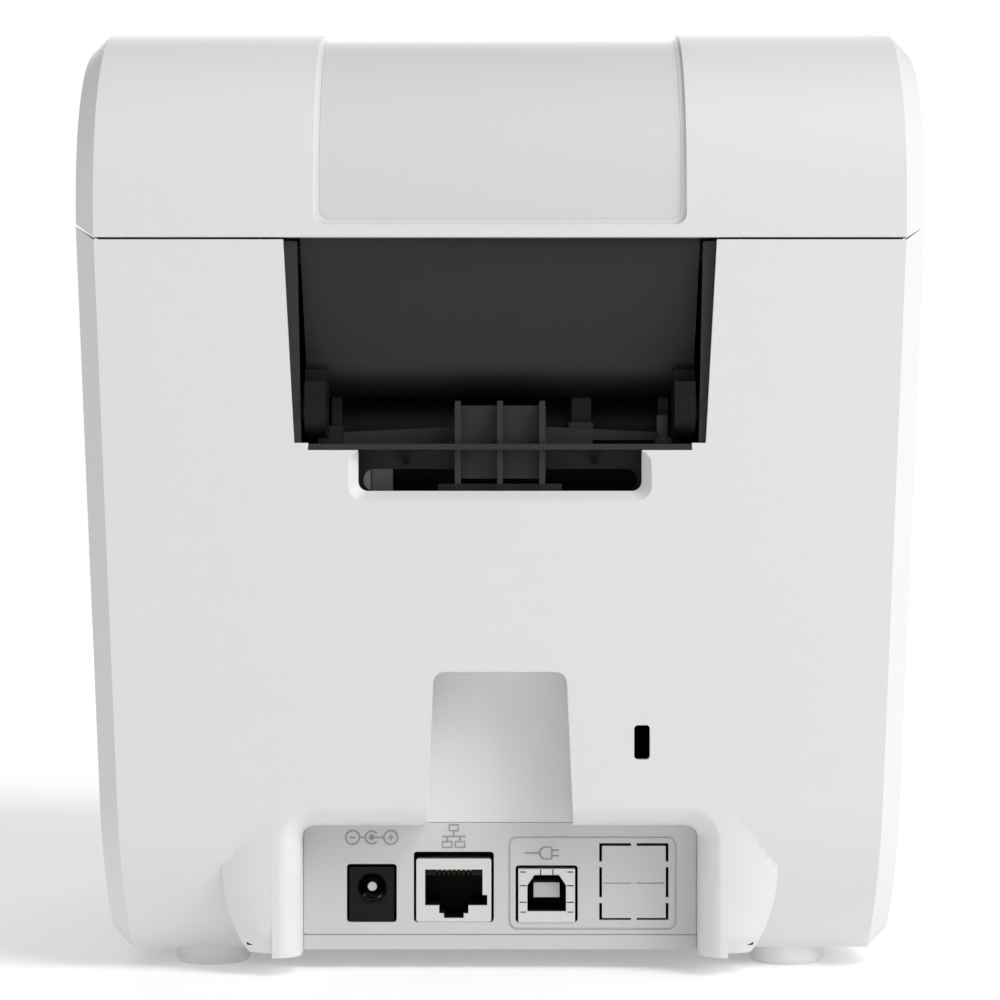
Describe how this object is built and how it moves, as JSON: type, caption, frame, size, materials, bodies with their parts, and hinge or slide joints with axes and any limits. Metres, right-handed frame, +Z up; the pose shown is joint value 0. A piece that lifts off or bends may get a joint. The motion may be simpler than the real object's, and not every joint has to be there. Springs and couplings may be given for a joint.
{
  "type": "receipt printer",
  "caption": "Desktop thermal printer for receipts and labels, with a roll bay under a rear-hinged lid, a rear entry for folded paper and a recessed bay of ports at the back.",
  "frame": {"origin": "centre of the footprint on the surface that the feet stand on", "axes": "+Z up, -Y towards the front, where the paper comes out, +Y towards the ports at the rear, +X to the left of someone facing the rear"},
  "size_m": [0.178, 0.224, 0.202],
  "materials": {
    "casing": "fine satin moulded white-grey plastic",
    "band": "satin light grey plastic",
    "panel": "satin light grey plastic",
    "black_plastic": "matte black moulded plastic",
    "dark_plastic": "matte charcoal moulded plastic",
    "deep_black": "deep black moulded plastic",
    "foot_rubber": "light grey rubber",
    "roller_rubber": "ground black rubber",
    "steel": "plated steel",
    "plated_screws": "zinc-plated steel",
    "socket_metal": "tin-plated shell",
    "brass": "bare brass",
    "gear_plastic": "natural acetal",
    "board": "green solder mask",
    "lights": "translucent light pipes",
    "button_plastic": "satin grey plastic",
    "hub_plastic": "satin light grey plastic",
    "head_alloy": "die-cast aluminium",
    "head_ceramic": "glazed ceramic"
  },
  "bodies": {
    "base": {"base_casing": "casing", "bottom_plate": "dark_plastic", "rubber_feet": "foot_rubber", "port_panel": "panel", "chassis": "black_plastic", "rear_guide": "black_plastic", "main_board": "board", "board_parts": "dark_plastic", "board_screws": "plated_screws", "dc_jack": "deep_black", "jack_pin": "socket_metal", "lan_socket": "socket_metal", "lan_insert": "deep_black", "lan_contacts": "brass", "usb_shell": "socket_metal", "usb_insert": "deep_black", "usb_tongue": "hub_plastic", "platen_bushings": "gear_plastic", "motor_bracket": "steel", "stepper_motor": "steel", "motor_screws": "plated_screws", "idler_post": "steel", "tear_bar": "steel", "control_panel": "panel", "status_lights": "lights", "button_board": "board", "hinge_pins": "steel", "casing_screws": "plated_screws", "sensor_rail": "steel"},
    "lid": {"lid_cover": "casing", "lid_panel": "band", "lid_liner": "dark_plastic", "lid_ears": "deep_black", "head_mount": "steel", "lid_catches": "black_plastic", "liner_screws": "plated_screws", "head_springs": "steel"},
    "head": {"head_carrier": "head_alloy", "print_head": "head_ceramic"},
    "platen": {"platen_shaft": "steel", "platen_rubber": "roller_rubber", "platen_gear": "gear_plastic"},
    "idler": {"idler_gear": "gear_plastic"},
    "motor_rotor": {"motor_pinion": "brass"},
    "power_button": {"power_button": "button_plastic"},
    "feed_button": {"feed_button": "button_plastic"},
    "latch": {"latch_shaft": "steel", "latch_hooks": "black_plastic", "release_tabs": "button_plastic"},
    "left_guide": {"left_guide": "dark_plastic"},
    "right_guide": {"right_guide": "dark_plastic"},
    "left_hub": {"left_hub": "hub_plastic"},
    "right_hub": {"right_hub": "hub_plastic"},
    "guide_pinion": {"guide_pinion": "gear_plastic"},
    "media_sensor": {"media_sensor": "dark_plastic"},
    "guide_roller": {"guide_roller": "dark_plastic"}
  },
  "joints": [
    {"name": "lid_hinge", "type": "hinge", "parent": "base", "child": "lid", "pos_m": [0, 0.106, 0.1185], "axis": [-1, 0, 0], "range_deg": [0, 95]},
    {"name": "head_pivot", "type": "hinge", "parent": "lid", "child": "head", "pos_m": [0, -0.058, 0.171], "axis": [-1, 0, 0], "range_deg": [0, 4], "stiffness_Nm_per_rad": 2, "springref_deg": -11.46, "deforming": ["head_springs"]},
    {"name": "platen_spin", "type": "hinge", "parent": "base", "child": "platen", "pos_m": [0, -0.088, 0.1475], "axis": [1, 0, 0], "continuous": true},
    {"name": "idler_spin", "type": "hinge", "parent": "base", "child": "idler", "pos_m": [0.0528, -0.07867, 0.12187], "axis": [1, 0, 0], "continuous": true},
    {"name": "motor_spin", "type": "hinge", "parent": "base", "child": "motor_rotor", "pos_m": [0.0528, -0.0749, 0.10051], "axis": [1, 0, 0], "continuous": true},
    {"name": "power_button_press", "type": "slide", "parent": "base", "child": "power_button", "axis": [0, 1, 0], "range_m": [0, 0.001], "stiffness_N_per_m": 400, "springref_m": -0.001},
    {"name": "feed_button_press", "type": "slide", "parent": "base", "child": "feed_button", "axis": [0, 1, 0], "range_m": [0, 0.001], "stiffness_N_per_m": 400, "springref_m": -0.001},
    {"name": "latch_turn", "type": "hinge", "parent": "base", "child": "latch", "pos_m": [0, -0.066, 0.141], "axis": [1, 0, 0], "range_deg": [0, 12], "stiffness_Nm_per_rad": 0.6, "springref_deg": -8.59},
    {"name": "left_guide_slide", "type": "slide", "parent": "base", "child": "left_guide", "axis": [-1, 0, 0], "range_m": [0, 0.03]},
    {"name": "right_guide_slide", "type": "slide", "parent": "base", "child": "right_guide", "axis": [1, 0, 0], "range_m": [0, 0.03]},
    {"name": "guide_pinion_turn", "type": "hinge", "parent": "base", "child": "guide_pinion", "pos_m": [0, 0.008, 0.0318], "axis": [0, 0, 1], "range_deg": [0, 240]},
    {"name": "left_hub_spin", "type": "hinge", "parent": "left_guide", "child": "left_hub", "pos_m": [0.0405, 0.008, 0.092], "axis": [1, 0, 0], "continuous": true},
    {"name": "right_hub_spin", "type": "hinge", "parent": "right_guide", "child": "right_hub", "pos_m": [-0.0405, 0.008, 0.092], "axis": [1, 0, 0], "continuous": true},
    {"name": "guide_roller_spin", "type": "hinge", "parent": "base", "child": "guide_roller", "pos_m": [0, 0.078, 0.115], "axis": [1, 0, 0], "continuous": true},
    {"name": "sensor_slide", "type": "slide", "parent": "base", "child": "media_sensor", "axis": [1, 0, 0], "range_m": [-0.036, 0.036]}
  ],
  "couplings": [
    {"joint": "platen_spin", "follows": "idler_spin", "ratio": -1.4286},
    {"joint": "motor_spin", "follows": "idler_spin", "ratio": -2.8571},
    {"joint": "right_guide_slide", "follows": "left_guide_slide", "ratio": 1},
    {"joint": "guide_pinion_turn", "follows": "left_guide_slide", "rad_per_m": 138.89}
  ]
}
